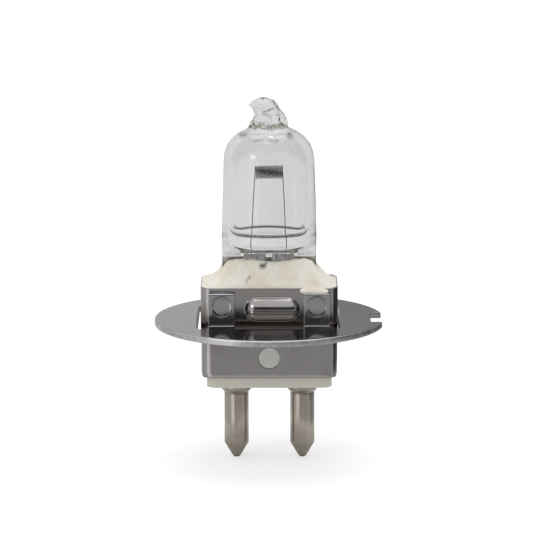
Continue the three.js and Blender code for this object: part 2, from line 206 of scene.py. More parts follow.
def smoothstep(value, low, high):
    """0 below low, 1 above high, and a smooth S between."""
    share = np.clip((value - low) / (high - low), 0, 1)
    return share * share * (3 - 2 * share)


def steps(*anchors_and_counts):
    """Values evenly spaced from anchor to anchor, given as anchor, count, anchor, count, anchor."""
    anchors = anchors_and_counts[0::2]
    counts = anchors_and_counts[1::2]
    runs = [np.linspace(a, b, n, endpoint=False) for a, b, n in zip(anchors, anchors[1:], counts)]
    return np.concatenate(runs + [[anchors[-1]]])


def lumps(points, size, seed):
    """Smooth noise, mostly -1 to 1: sine waves in random directions, their sum over their number's root."""
    waves = 24
    random = np.random.default_rng(seed)
    direction = random.normal(size=(waves, 3))
    direction /= np.linalg.norm(direction, axis=1, keepdims=True)
    rate = 2 * np.pi / size * random.uniform(0.6, 1.6, waves)
    phase = random.uniform(0, 2 * np.pi, waves)
    return np.sin(points @ (direction * rate[:, None]).T + phase).sum(axis=-1) / math.sqrt(waves)


def eased(points, cuts, count=5):
    """A polyline with rounded inner corners: each is a quadratic arc that starts and ends a cut away."""
    points = np.array(points, dtype=float)
    cuts = np.broadcast_to(np.array(cuts, dtype=float), (len(points) - 2,))[:, None]
    corner = points[1:-1]
    back = points[:-2] - corner
    ahead = points[2:] - corner
    back_length = np.linalg.norm(back, axis=1, keepdims=True)
    ahead_length = np.linalg.norm(ahead, axis=1, keepdims=True)
    enter = corner + back / back_length * np.minimum(cuts, back_length * 0.49)
    leave = corner + ahead / ahead_length * np.minimum(cuts, ahead_length * 0.49)
    t = np.linspace(0, 1, count)[None, :, None]
    arcs = (1 - t) ** 2 * enter[:, None] + 2 * t * (1 - t) * corner[:, None] + t ** 2 * leave[:, None]
    return np.vstack([points[:1], arcs.reshape(-1, points.shape[1]), points[-1:]])


def catmull(stations, count):
    """A smooth curve through stations, a row of values each, with count points to each span."""
    padded = np.vstack([2 * stations[0] - stations[1], stations, 2 * stations[-1] - stations[-2]])
    before, start, end, after = padded[:-3], padded[1:-2], padded[2:-1], padded[3:]
    t = (np.arange(count) / count)[None, :, None]
    curve = 0.5 * (
        2 * start[:, None]
        + (end - before)[:, None] * t
        + (2 * before - 5 * start + 4 * end - after)[:, None] * t ** 2
        + (3 * start - before - 3 * end + after)[:, None] * t ** 3
    )
    return np.vstack([curve.reshape(-1, stations.shape[1]), stations[-1:]])


def turned_loops(profile, sides, centre=(0.0, 0.0)):
    """Circles of radius profile[:, 0] at height profile[:, 1] round a vertical axis."""
    angle = around(sides)
    x = centre[0] + profile[:, :1] * np.cos(angle)
    y = centre[1] + profile[:, :1] * np.sin(angle)
    return stacked(x, y, profile[:, 1:])


def turned_skin(profile, sides, centre):
    """A lathe body whose profile starts and ends on the axis."""
    start = (centre[0], centre[1], profile[0, 1])
    end = (centre[0], centre[1], profile[-1, 1])
    return skin(turned_loops(profile[1:-1], sides, centre), start, end)


def rectangle_outline(half_width, half_depth, corner, across, along, corner_count):
    """A rectangle with round corners: its points, and the outward side of each.

    It runs anticlockwise from the front face's left end, with points at across on its front and back
    and at along on its ends.
    """
    x, y = half_width - corner, half_depth - corner
    quarter = np.linspace(0, np.pi / 2, corner_count, endpoint=False)
    points, outward = [], []
    for turn, run, reach, middle in (
        (0, across, half_depth, (x, -y)),
        (1, along, half_width, (x, y)),
        (2, across, half_depth, (-x, y)),
        (3, along, half_width, (-x, -y)),
    ):
        cos, sin = round(math.cos(turn * math.pi / 2)), round(math.sin(turn * math.pi / 2))
        points.append(stacked(run * cos + reach * sin, run * sin - reach * cos))
        outward.append(np.tile([float(sin), float(-cos)], (len(run), 1)))
        angle = quarter + (turn - 1) * np.pi / 2
        arc = stacked(np.cos(angle), np.sin(angle))
        points.append(arc * corner + np.array(middle))
        outward.append(arc)
    return np.vstack(points), np.vstack(outward)


def rounded_rectangle(half_width, half_depth, corner, side_count, end_count, corner_count):
    """The points of such a rectangle, evenly spaced along each side."""
    x, y = half_width - corner, half_depth - corner
    across = np.linspace(-x, x, side_count, endpoint=False)
    along = np.linspace(-y, y, end_count, endpoint=False)
    return rectangle_outline(half_width, half_depth, corner, across, along, corner_count)[0]


# ---- Quartz envelope ----

def squared(cosine, power):
    """A cosine or sine raised to 2/power with its sign kept, which squares a circle as power grows."""
    return np.sign(cosine) * np.abs(cosine) ** (2 / power)


def dome_radius(height, foot_radius):
    """Superellipse: the radius left at a height above the dome's foot."""
    return foot_radius * (1 - (height / DOME_HEIGHT) ** DOME_SQUARENESS) ** (1 / DOME_SQUARENESS)


def squared_loops(rows, columns):
    """Squared ellipses from rows of half width, half depth, squareness and height."""
    angle, power = around(columns), rows[:, 2:3]
    x = rows[:, :1] * squared(np.cos(angle), power)
    y = rows[:, 1:2] * squared(np.sin(angle), power)
    return stacked(x, y, rows[:, 3:])


def press_and_tube_rows():
    """Rows of half width, half depth, squareness and height: press, slope, narrowing tube and dome.

    A smooth S up the slope leads from the flat and nearly square press to the round tube.
    """
    press_square, press_end = 9.0, bulb_low[2]
    end = np.array([
        [BULB_RADIUS - 0.30, PRESS_HALF - 0.25, press_square, press_end],
        [BULB_RADIUS - 0.12, PRESS_HALF - 0.06, press_square, press_end + 0.08],
        [BULB_RADIUS - PRESS_INSET, PRESS_HALF, press_square, press_end + 0.25],
    ])
    press_z = np.linspace(press_end + 0.8, PRESS_HEAD - 0.3, 12)
    press = stacked(BULB_RADIUS - PRESS_INSET, PRESS_HALF, press_square, press_z)
    slope_z = np.linspace(SLOPE_FOOT, SLOPE_TOP, 26)
    rise = smoothstep(slope_z, SLOPE_FOOT, SLOPE_TOP)
    slope_width = BULB_RADIUS - PRESS_INSET * (1 - rise)
    slope_depth = PRESS_HALF + (BULB_RADIUS - PRESS_HALF) * rise
    slope = stacked(slope_width, slope_depth, 2 + (press_square - 2) * (1 - rise) ** 3, slope_z)
    tube_z = np.linspace(SLOPE_TOP + 0.25, DOME_FOOT, 26)
    tube_radius = BULB_RADIUS - BULB_NARROWING * (tube_z - SLOPE_TOP) / (DOME_FOOT - SLOPE_TOP)
    tube = stacked(tube_radius, tube_radius, 2.0, tube_z)
    dome_z = TIP_START * np.sin(np.linspace(0.06, np.pi / 2, 26)) ** 0.9
    radius = dome_radius(dome_z, DOME_RADIUS)
    dome = stacked(radius, radius, 2.0, DOME_FOOT + dome_z)
    return np.vstack([end, press, slope, tube, dome])


def exhaust_tip_stations():
    """The hooked tip: left end x, z, right end x, z and half depth of each tilted section."""
    return np.array([
        [-2.35, 18.73, 2.30, 18.73, 2.32],
        [-1.96, 19.07, 1.94, 18.99, 1.92],
        [-1.76, 19.50, 1.80, 19.40, 1.74],
        [-1.52, 19.86, 1.64, 19.99, 1.54],
        [-1.38, 20.33, 1.40, 20.38, 1.36],
        [-1.44, 20.57, 1.15, 20.77, 1.28],
        [-1.52, 20.71, 0.83, 21.16, 1.18],
        [-1.65, 20.82, 0.38, 21.55, 1.06],
        [-1.76, 20.88, -0.33, 21.82, 0.84],
        [-1.84, 20.92, -1.09, 21.76, 0.58],
        [-1.89, 20.95, -1.59, 21.52, 0.34],
        [-1.91, 20.97, -1.84, 21.25, 0.14],
    ])


def envelope_outside():
    """The outer glass: squared ellipses up to the dome, then tilted ellipses up the hooked, lumpy tip."""
    columns = 144
    angle = around(columns)
    lower = squared_loops(press_and_tube_rows(), columns)
    left_x, left_z, right_x, right_z, half_depth = catmull(exhaust_tip_stations(), 5)[1:].T[..., None]
    upper = stacked(
        (left_x + right_x) / 2 + (right_x - left_x) / 2 * np.cos(angle),
        half_depth * np.sin(angle),
        (left_z + right_z) / 2 + (right_z - left_z) / 2 * np.cos(angle),
    )
    loops = np.concatenate([lower, upper])
    ripple = 0.085 * smoothstep(loops[..., 2], 17.9, 19.4)
    loops += (ripple * lumps(loops, 1.1, seed=4))[..., None] * np.array([0.8, 0.8, 0.5])
    wave = 0.012 * smoothstep(loops[..., 2], PRESS_HEAD, SLOPE_TOP)
    loops[..., :2] *= 1 + (wave * lumps(loops, 6.0, seed=9))[..., None] / BULB_RADIUS
    return skin(loops, (0, 0, bulb_low[2]), (-1.93, 0, 21.06))


def cavity_rows():
    """Half width, half depth, squareness and height of the gas space up to the dome.

    From the pinch a smooth curve through stations opens to an oval throat, crosses a rounded ridge,
    steps out over a shelf to the round wall, and the wall follows the narrowing tube.
    """
    wall = CAVITY_RADIUS
    throat = wall - 0.68
    stations = np.array([
        [2.20, 0.12, 2.4, PINCH_TOP],
        [2.65, 0.70, 2.3, PINCH_TOP + 0.06],
        [3.00, 1.60, 2.2, PINCH_TOP + 0.20],
        [3.25, 2.30, 2.1, PINCH_TOP + 0.38],
        [3.40, throat - 0.10, 2.0, PINCH_TOP + 0.60],
        [3.46, throat - 0.02, 2.0, PINCH_TOP + 0.90],
        [3.46, throat, 2.0, RIDGE_HEIGHT - 0.50],
        [3.46, throat, 2.0, RIDGE_HEIGHT - 0.22],
        [3.45, throat - 0.01, 2.0, RIDGE_HEIGHT - 0.14],
        [3.38, throat - 0.08, 2.0, RIDGE_HEIGHT - 0.08],
        [3.35, throat - 0.11, 2.0, RIDGE_HEIGHT],
        [3.38, throat - 0.08, 2.0, RIDGE_HEIGHT + 0.08],
        [3.45, throat + 0.05, 2.0, RIDGE_HEIGHT + 0.13],
        [3.47, throat + 0.38, 2.0, RIDGE_HEIGHT + 0.18],
        [3.48, wall - 0.10, 2.0, RIDGE_HEIGHT + 0.23],
        [wall, wall - 0.02, 2.0, RIDGE_HEIGHT + 0.30],
        [wall, wall, 2.0, RIDGE_HEIGHT + 0.42],
    ])
    lower = catmull(stations, 3)
    tube_z = np.linspace(RIDGE_HEIGHT + 0.7, DOME_FOOT, 18)
    tube_radius = wall - BULB_NARROWING * (tube_z - RIDGE_HEIGHT) / (DOME_FOOT - RIDGE_HEIGHT)
    return np.vstack([lower, stacked(tube_radius, tube_radius, 2.0, tube_z)])


def ridge_lift(x):
    """How far the ridge turns up towards its left and right ends: a high power of the distance out."""
    return 0.45 * np.minimum(np.abs(x) / RIDGE_HALF_WIDTH, 1) ** 14


def ridge_painted_shade(points):
    """Painted shade of the ridge's refraction line at each point, 0 to 1: a narrow bell across its height.
    """
    x, y, z = points.T
    distance = (z - RIDGE_HEIGHT - ridge_lift(x)) / 0.13
    inside = np.hypot(x / (RIDGE_HALF_WIDTH + 0.22), y / (CAVITY_RADIUS + 0.12)) < 1
    return np.exp(-distance ** 4) * inside


def tip_painted_shade(points):
    """Painted shade of refraction on the tip's front, 0 to 1: slanted bells added up and made ragged by
    lumps.
    """
    x, y, z = points.T
    total = np.zeros(len(points))
    for middle_x, middle_z, reach, height, slope, depth in (
        (0.08, 20.85, 0.75, 0.11, 0.33, 1.1),
        (-0.20, 20.40, 0.50, 0.11, -0.25, 0.6),
        (-1.50, 19.95, 0.12, 0.45, 0.0, 1.0),
        (-1.10, 19.25, 0.30, 0.15, 0.9, 0.9),
        (-1.75, 19.20, 0.22, 0.22, 0.5, 1.1),
        (0.95, 20.05, 0.08, 0.60, 0.0, 1.0),
        (1.25, 19.45, 0.22, 0.18, -0.7, 0.9),
        (0.30, 19.10, 0.55, 0.11, 0.2, 0.7),
        (-2.45, 18.52, 0.50, 0.20, 0.25, 1.1),
        (2.00, 18.52, 0.42, 0.22, -0.25, 1.1),
        (-0.95, 18.22, 0.60, 0.11, 0.12, 0.8),
        (0.45, 18.20, 0.65, 0.13, -0.10, 0.9),
    ):
        across = (x - middle_x) / reach
        up = (z - middle_z - slope * (x - middle_x)) / height
        total = total + depth * np.exp(-across ** 4 - up ** 2)
    ragged = 0.75 + 0.35 * lumps(points, 0.5, seed=61)
    outer_radius = dome_radius(np.clip(z - DOME_FOOT, 0, 3.5), DOME_RADIUS)
    outside = (np.hypot(x, y) > outer_radius - 0.3) | (z > 18.7)
    return np.clip(total * ragged, 0, 1) * (y < 0) * outside


def glass_painted_shade(points):
    """The ridge's and the tip's painted shade together."""
    return np.maximum(ridge_painted_shade(points), tip_painted_shade(points))


def envelope_cavity():
    """The gas space: a slit at the pinch, throat, shelf, wall, dome and an uneven closed bore."""
    columns = 96
    lower = squared_loops(cavity_rows(), columns)
    turn = np.linspace(0.06, np.pi / 2, 26)
    lift = DOME_HEIGHT - 1.15
    inner_radius = (CAVITY_RADIUS - BULB_NARROWING) * np.maximum(np.cos(turn), 1e-6) ** 0.8
    dome = stacked(inner_radius, DOME_FOOT + lift * np.sin(turn) ** 0.95)[:-4]
    top = DOME_FOOT + lift
    bore = eased([
        [0.75, top + 0.02], [0.50, top + 0.30], [0.34, top + 1.0], [0.24, top + 2.1], [0.0, top + 2.5],
    ], 0.15, 4)
    profile = np.vstack([dome, bore])
    loops = np.concatenate([lower, turned_loops(profile[:-1], columns)])
    near_ridge = np.exp(-((loops[..., 2] - RIDGE_HEIGHT) / 0.45) ** 2)
    loops[..., 2] += ridge_lift(loops[..., 0]) * near_ridge
    ripple = 0.13 * smoothstep(loops[..., 2], 16.9, 17.9)
    loops += (ripple * lumps(loops, 1.1, seed=12))[..., None]
    return skin(loops, (0, 0, PINCH_TOP - 0.04), (0, 0, profile[-1, 1]), flip=True)


# ---- Filament and foils ----

def swept(path, radius, sides):
    """A round wire along a path. Each section is square to it, with one radius kept near the X axis."""
    tangent = np.gradient(path, axis=0)
    tangent /= np.linalg.norm(tangent, axis=1, keepdims=True)
    along_x = np.array([1.0, 0.0, 0.0])
    first = along_x - tangent * (tangent @ along_x)[:, None]
    first /= np.linalg.norm(first, axis=1, keepdims=True)
    second = np.cross(tangent, first)
    angle = around(sides)
    ring = first[:, None] * np.cos(angle)[None, :, None] + second[:, None] * np.sin(angle)[None, :, None]
    radius = np.broadcast_to(radius, (len(path),))[:, None, None]
    return skin(path[:, None] + radius * ring, path[0], path[-1])


def filament_path():
    """Left leg, a helix along X and right leg: the legs are straight but for a slight bow."""
    turns, length, radius, height = 13.5, 2.6, 0.61, 14.76
    leg_y, leg_foot = -0.165, foil_high[2] - 0.7
    turn = np.linspace(0, turns, 13 * 28) * 2 * np.pi
    share = turn / turn[-1]
    tilt = 0.06
    helix = stacked(
        -length / 2 + length * share,
        -radius * np.cos(turn),
        height + tilt * (share - 0.5) + radius * np.sin(turn),
    )
    down = np.linspace(1, 0, 40, endpoint=False)[:, None]
    legs = []
    for top, foot_x, bow in ((helix[0], -1.70, -0.06), (helix[-1], 1.60, 0.05)):
        foot = np.array([foot_x, leg_y, leg_foot])
        legs.append(top + (foot - top) * down + np.sin(down * np.pi) * np.array([bow, 0.0, 0.0]))
    return np.vstack([legs[0], helix, legs[1][::-1]])


def wire_radius(path):
    """Radius at each point of the wire: thin legs, thicker from just below the helix up."""
    leg_radius, growth = 0.042, 0.010
    return leg_radius + growth * smoothstep(path[:, 2], coil_high[2] - 1.6, coil_high[2] - 1.25)


def foil_shape(side):
    """A sealing foil: a thin sheet, its faces ribbed along its length and its edges thinned."""
    middle = side * (foil_low[0] + foil_high[0]) / 2
    half = (foil_high[0] - foil_low[0]) / 2
    across = np.linspace(-1, 1, 88)
    rib = 0.014 * np.sin(across * np.pi * 12)
    thin = 0.04 * np.sqrt(1 - 0.96 * across ** 6)
    section = np.vstack([stacked(across * half, -thin + rib), stacked(across * half, thin + rib)[::-1]])
    height = steps(foil_low[2], 16, PINCH_TOP - 0.10)[:, None]
    crimp = 0.02 * np.sin(height * 3.1)
    loops = stacked(middle + section[:, 0], section[:, 1] + crimp, height)
    return skin(loops, loops[0].mean(axis=0), loops[-1].mean(axis=0))


# ---- Cement ----

def heap_top(x):
    """Height of the heap's upper edge along the press: high over its faces, falling past its edges."""
    high = 6.50 + 0.12 * np.cos(x * 1.15 - 3.6)
    low = np.where(x < 0, 4.75, 4.95)
    return high + (low - high) * smoothstep(np.abs(x), 3.5, 4.9)


def cement_shape():
    """Loops up the press's pocket, over the heap's uneven lip, down its slope, over the rim and inside."""
    half = np.array([5.3, 2.3])
    base = rounded_rectangle(half[0], half[1], 0.7, 96, 40, 10) / half
    press = np.array([BULB_RADIUS - 0.03, PRESS_HALF + 0.03])
    shell = np.array([SHELL_HALF_WIDTH, SHELL_HALF_DEPTH])
    inside, over = shell - SHELL_WALL - 0.03, shell - 0.10
    pocket = base * press
    lip_z = heap_top(pocket[:, 0])
    bottom = cement_low[2] + 0.25
    rows = [lifted(pocket, bottom)]
    for share in np.linspace(0.15, 1, 10):
        rows.append(lifted(pocket, bottom + (lip_z - 0.12 - bottom) * share))
    for growth, drop in ((0.08, 0.03), (0.22, 0), (0.40, 0.10)):
        rows.append(lifted(base * (press + growth), lip_z - drop))
    start, end = press + 0.40, inside - 0.15
    for share in np.linspace(0.07, 1, 22):
        fall = 1 - (1 - share) ** 1.25
        height = lip_z - 0.10 + (RIM + 0.16 - lip_z + 0.10) * fall
        rows.append(lifted(base * (start + (end - start) * share), height))
    for size, height in ((inside + 0.1, 0.12), (over - 0.12, 0.10), (over, 0.05), (over - 0.02, 0.012)):
        rows.append(lifted(base * size, RIM + height))
    for height in (RIM + 0.008, RIM - 0.3, (RIM + bottom) / 2, bottom - 0.25):
        rows.append(lifted(base * inside, height))
    return roughened_cement(np.stack(rows))


def crack_line(x, z, width):
    """A short wavering crack: 1 along it, a bell of that width across it, fading out at its ends."""
    across = x + 2.05 + 0.12 * np.sin(z * 7) - 0.25 * (z - 4.6)
    return np.exp(-(across / width) ** 2) * smoothstep(z, 4.3, 4.5) * (1 - smoothstep(z, 5.0, 5.3))


def roughened_cement(loops):
    """Lumps, a pit and a crack on the open part of the cement, none inside the shell or the pocket."""
    x, y, z = np.moveaxis(loops, -1, 0)
    radius = np.hypot(x / 4.6, y / 1.6)
    open_air = smoothstep(z, RIM + 0.02, RIM + 0.35) * smoothstep(radius, 1.0, 1.12)
    push = 0.085 * lumps(loops, 2.4, seed=3) + 0.045 * lumps(loops, 0.8, seed=5)
    push = push + 0.018 * lumps(loops, 0.32, seed=8)
    front = y < 0
    pit = np.hypot((x + 0.62) / 0.34, (z - 6.02) / 0.20)
    push = push - 0.55 * np.exp(-pit ** 2 * 1.6) * front
    push = push - 0.09 * crack_line(x, z, 0.07) * front
    loops = loops + stacked(x / 40, y / 6, 0.75) * (push * open_air)[..., None]
    return skin(loops, loops[0].mean(axis=0), loops[-1].mean(axis=0), flip=True)


def cement_dark_marks_and_painted_shade(points):
    """Darkness painted on the cement, 0 to 1: bells of painted shade in a pit and along a crack, and of
    dark marks by the pit, at a speck and at a back corner.
    """
    x, y, z = points.T
    pit = np.hypot((x + 0.60) / 0.34, (z - 6.00) / 0.24)
    hook = np.hypot((x + 0.28) / 0.24, (z - 6.22) / 0.12)
    speck = np.hypot((x + 1.85) / 0.12, (z - 4.95) / 0.14)
    # The pit and the crack are painted shade; the hook, the speck and the corner are dark marks.
    marks = np.exp(-pit ** 4) + 0.8 * np.exp(-hook ** 4) + 0.5 * np.exp(-speck ** 4)
    marks = marks + 0.4 * crack_line(x, z, 0.09)
    corner = np.hypot((x - 6.25) / 0.45, (y - 2.6) / 0.7)
    return np.clip(marks * (y < -PRESS_HALF) + 0.8 * np.exp(-corner ** 4), 0, 1)


def drip_shape():
    """A flattened blob over the rim on the front right tongue: an ellipsoid squared in plan and lumpy."""
    centre = np.array([4.25, -3.78, 3.93])
    half = np.array([1.36, 0.38, 0.33])
    squareness = 2.6
    climb = np.linspace(-np.pi / 2, np.pi / 2, 26)[1:-1, None]
    turn = around(72)
    level = np.cos(climb) ** 0.8
    x = level * squared(np.cos(turn), squareness)
    y = level * squared(np.sin(turn), squareness)
    loops = stacked(x, y, np.sin(climb)) * half + centre
    loops = loops + 0.05 * lumps(loops, 1.5, seed=21)[..., None] * np.array([0.3, 0.5, 0.9])
    return skin(loops, centre - [0, 0, half[2]], centre + [0, 0, half[2]])


def plug_shape(side):
    """The cement plug: a short bar with a slightly uneven outer face just proud of the shell."""
    outer = SHELL_HALF_DEPTH + 0.015
    inner = SHELL_HALF_DEPTH - (plug_high[1] - plug_low[1])
    radius = HOLE_RADIUS - 0.01
    profile = eased([[0, inner], [radius, inner], [radius, outer], [0, outer]], 0.05, 4)
    rim = profile[profile[:, 1] < outer - 1e-6]
    face = stacked(np.linspace(radius - 0.06, 0.0, 9), outer)
    loops = turned_loops(np.vstack([rim, face])[1:-1], 64)
    loops[..., 2] += 0.012 * lumps(loops, 0.9, seed=31) * (loops[..., 2] > outer - 0.01)
    points, faces = skin(loops, (0, 0, inner), (0, 0, outer))
    return stacked(points[:, 0], side * points[:, 2], -side * points[:, 1] + PLUG_HEIGHT), faces


# ---- Shell ----

def shell_outline():
    """The can's outline, with close points by the boss and the hole, and each point's outward side."""
    x_end = SHELL_HALF_WIDTH - SHELL_CORNER
    y_end = SHELL_HALF_DEPTH - SHELL_CORNER
    across = steps(-x_end, 24, -2.9, 26, -HOLE_RADIUS, 26, HOLE_RADIUS, 32, 3.3, 24, x_end)[:-1]
    along = np.linspace(-y_end, y_end, 22, endpoint=False)
    return rectangle_outline(SHELL_HALF_WIDTH, SHELL_HALF_DEPTH, SHELL_CORNER, across, along, 10)


def boss_rise(x, z):
    """Height of the stadium boss: a squared dome of the distance from its middle line, with a soft foot."""
    half_height, reach, middle = 1.16, 1.44, 2.08
    edge = math.sqrt(0.20)
    distance = np.hypot(np.maximum(np.abs(x - BOSS_SHIFT) - reach, 0), z - middle) / half_height
    arc = np.sqrt(np.maximum(1 - 0.80 * np.minimum(distance, 1) ** 2.1, 0)) - edge
    return BOSS_PROUD * arc / (1 - edge) * (1 - smoothstep(distance, 0.93, 1.0))


def shell_shape():
    """The can's outer face on a grid round its outline and up its height.

    Near each round hole the grid's squares are drawn into circles, so that the hole's edge is a grid
    line. The boss rises from the grid and the can's foot is tucked in. Below the flange the can is a
    little narrower, but for the middle of its faces, which bulge back out.
    """
    outline, outward = shell_outline()
    low, high = PLUG_HEIGHT - HOLE_RADIUS, PLUG_HEIGHT + HOLE_RADIUS
    boss_foot, boss_head = 0.8, 3.36
    height = steps(
        SHELL_FOOT, 3, SHELL_FOOT + 0.45, 6, low, 26, high, 22, boss_foot, 48, boss_head, 8, RIM)
    rows, columns = len(height), len(outline)
    x = np.tile(outline[:, 0], (rows, 1))
    y = np.tile(outline[:, 1], (rows, 1))
    z = np.tile(height[:, None], (1, columns))
    on_face = np.abs(outward[:, 1]) > 0.999
    across, up = x / HOLE_RADIUS, (z - PLUG_HEIGHT) / HOLE_RADIUS
    square = np.maximum(np.abs(across), np.abs(up))
    circle = np.maximum(np.hypot(across, up), 1e-9)
    hold = 1 - smoothstep(square, 1.05, 1.9)
    pull = np.where(on_face, 1 + hold * (square / circle - 1), 1)
    x = x * pull
    z = PLUG_HEIGHT + (z - PLUG_HEIGHT) * pull
    rise = np.where(on_face, boss_rise(x, z), 0)
    rise = rise - 0.10 * (1 - smoothstep(z, SHELL_FOOT - 0.1, SHELL_FOOT + 0.5))
    waist = 0.05
    crown = waist * (1 - (x / SHELL_HALF_WIDTH) ** 2) * smoothstep(-z, 0.4, 2.0)
    rise = rise - np.where(on_face, waist - crown, waist) * smoothstep(-z, 0.0, 1.0)
    points = stacked(x + outward[:, 0] * rise, y + outward[:, 1] * rise, z).reshape(-1, 3)
    faces = grid_quads(rows, columns)
    inside = ((square < 1 + 1e-6) & on_face).reshape(-1)
    faces = faces[~inside[faces].all(axis=1)]
    used, renumbered = np.unique(faces, return_inverse=True)
    return points[used], [renumbered.reshape(faces.shape)]


# ---- Flange ----

OPENING_LEFT = SHELL_HALF_WIDTH + 0.24
OPENING_RIGHT = SHELL_HALF_WIDTH + 0.04
OPENING_HALF_DEPTH = 5.5
TONGUE_INNER, TONGUE_OUTER = 3.275, 5.775
TONGUE_FACE = SHELL_HALF_DEPTH + 0.05 + FLANGE_THICKNESS
TONGUE_BEND = 0.15
NOTCH_HALF, NOTCH_FLOOR = 2.2, FLANGE_RADIUS - 1.28


def flange_stations():
    """Half of the plate from the left round the front to the notch.

    Each station is a point of the inner edge, one of the outer edge and the steps to the next station.
    """
    def rim(degrees):
        """The rim's point at that angle round from +X."""
        angle = math.radians(degrees)
        return [FLANGE_RADIUS * math.cos(angle), FLANGE_RADIUS * math.sin(angle)]

    left, side, front = -OPENING_LEFT, OPENING_RIGHT, -OPENING_HALF_DEPTH
    root = -(TONGUE_FACE + TONGUE_BEND)
    notch_mouth = -math.degrees(math.asin(NOTCH_HALF / FLANGE_RADIUS))
    return [
        ([left, 0], rim(180), 40),
        ([left, front + 0.4], rim(218.6), 3),
        ([left + 0.12, front + 0.12], rim(220.5), 3),
        ([left + 0.4, front], rim(222.5), 10),
        ([-TONGUE_OUTER, front], rim(237.2), 6),
        ([-TONGUE_OUTER, root], rim(239.4), 16),
        ([-TONGUE_INNER, root], rim(250.9), 6),
        ([-TONGUE_INNER, front], rim(252.3), 40),
        ([TONGUE_INNER, front], rim(287.7), 6),
        ([TONGUE_INNER, root], rim(289.1), 16),
        ([TONGUE_OUTER, root], rim(300.6), 6),
        ([TONGUE_OUTER, front], rim(302.8), 10),
        ([side - 0.4, front], rim(317.5), 3),
        ([side - 0.12, front + 0.12], rim(319.5), 3),
        ([side, front + 0.4], rim(321.4), 24),
        ([side, -3.2], rim(notch_mouth), 8),
        ([side, -NOTCH_HALF], [NOTCH_FLOOR, -NOTCH_HALF], 12),
        ([side, 0], [NOTCH_FLOOR, 0], 0),
    ]


def flange_outlines():
    """Matching points on the plate's inner and outer edge, with the arcs pushed out to the true circle."""
    spans = flange_stations()
    station = np.array([inner + outer for inner, outer, _ in spans], dtype=float)
    counts = [count for _, _, count in spans[:-1]]
    t = np.concatenate([i + np.arange(n) / n for i, n in enumerate(counts)] + [[len(spans) - 1]])
    index = np.arange(len(spans))
    half = stacked(*(np.interp(t, index, value) for value in station.T))
    on_arc = t <= len(spans) - 3
    grow = np.where(on_arc, FLANGE_RADIUS / np.hypot(half[:, 2], half[:, 3]), 1)
    half[:, 2:] *= grow[:, None]
    other = half[1:-1][::-1] * np.array([1, -1, 1, -1])
    full = np.vstack([half, other])
    return full[:, :2], full[:, 2:]


def flange_plate():
    """A closed section, run round the plate: inner edge, upper face, rounded rim and lower face."""
    inner, outer = flange_outlines()
    across = outer - inner
    direction = across / np.linalg.norm(across, axis=1, keepdims=True)
    top = FLANGE_THICKNESS
    rows = []
    for inset, height in ((0.05, 0), (0, 0.05), (0, top - 0.05), (0.05, top)):
        rows.append((inner + direction * inset, height))
    for share in np.linspace(0.08, 0.92, 12):
        rows.append((inner + across * share, top))
    for inset, height in ((0.14, top), (0.06, top - 0.02), (0.015, top - 0.07), (0, top - 0.14)):
        rows.append((outer - direction * inset, height))
    for inset, height in ((0, 0.10), (0.03, 0.03), (0.10, 0)):
        rows.append((outer - direction * inset, height))
    for share in np.linspace(0.92, 0.08, 12):
        rows.append((inner + across * share, 0))
    loops = np.stack([lifted(edge, height) for edge, height in rows[::-1]])
    return loops.reshape(-1, 3), [grid_quads(len(loops), len(inner), wrap_rows=True)]


def weld_relief(x, z):
    """The round spot-weld mark: a shallow pan with a faint raised rim."""
    weld_radius = 0.925
    distance = np.hypot(x, z) / weld_radius
    pan = -0.035 * (1 - smoothstep(distance, 0.78, 1.0))
    return pan + 0.014 * np.exp(-((distance - 1.02) / 0.07) ** 2)


def tongue_shape(side, front):
    """A tongue: a rectangle carried from the plate's edge round the bend and up along the shell.

    Its section shrinks a little at the top end, and the spot weld marks its outer face.
    """
    bend_count, wall_count = 10, 48
    half_width, half_thickness = (TONGUE_OUTER - TONGUE_INNER) / 2, FLANGE_THICKNESS / 2
    radius = TONGUE_BEND + half_thickness
    turn = np.linspace(0, np.pi / 2, bend_count)
    bend_out = TONGUE_FACE + TONGUE_BEND - radius * np.sin(turn)
    bend_up = half_thickness + radius * (1 - np.cos(turn))
    top = flange_high[2]
    wall_up = np.linspace(bend_up[-1] + 0.06, top - 0.10, wall_count)
    path_y = np.concatenate([bend_out, np.full(wall_count + 2, bend_out[-1])])
    path_z = np.concatenate([bend_up, wall_up, [top - 0.03, top]])[:, None]
    facing = np.concatenate([turn, np.full(wall_count + 2, np.pi / 2)])[:, None]
    shrink = np.concatenate([np.zeros(bend_count + wall_count), [0.03, 0.10]])[:, None]
    section = rounded_rectangle(half_width, half_thickness, 0.07, 52, 6, 4)
    across = section[:, 0] * (1 - shrink / half_width)
    thick = section[:, 1] * (1 - shrink / half_thickness * 0.7)
    weld_z = FLANGE_THICKNESS + 1.84
    outer_side = (section[:, 1] < -half_thickness + 0.01) & (facing > 1.5)
    thick = thick - np.where(outer_side, weld_relief(across, path_z - weld_z), 0)
    x = side * (TONGUE_INNER + TONGUE_OUTER) / 2 + across
    depth = path_y[:, None] - thick * np.sin(facing)
    loops = stacked(x, -depth * front, path_z + thick * np.cos(facing))
    return skin(loops, loops[0].mean(axis=0), loops[-1].mean(axis=0), flip=front < 0)


# ---- Ceramic base, pins and solder ----

def ceramic_shape():
    """The block: rounded rectangles from its lower face, round its edges, to its upper face."""
    half = np.array([base_high[0], base_high[1]])
    low, high = base_low[2], base_high[2]
    rows = [(0.5, low), (0.25, low), (0.08, low + 0.01), (0.02, low + 0.05), (0, low + 0.12)]
    rows += [(0, z) for z in np.linspace(low + 0.5, high - 0.3, 10)]
    rows += [(0.05, high - 0.08), (0.2, high)]
    loops = np.stack([
        lifted(rounded_rectangle(half[0] - inset, half[1] - inset, 0.9 - inset * 0.6, 72, 24, 9), z)
        for inset, z in rows
    ])
    loops = loops + 0.012 * lumps(loops, 1.6, seed=41)[..., None] * np.array([1.0, 1.0, 0.0])
    return skin(loops, (0, 0, low), (0, 0, high))


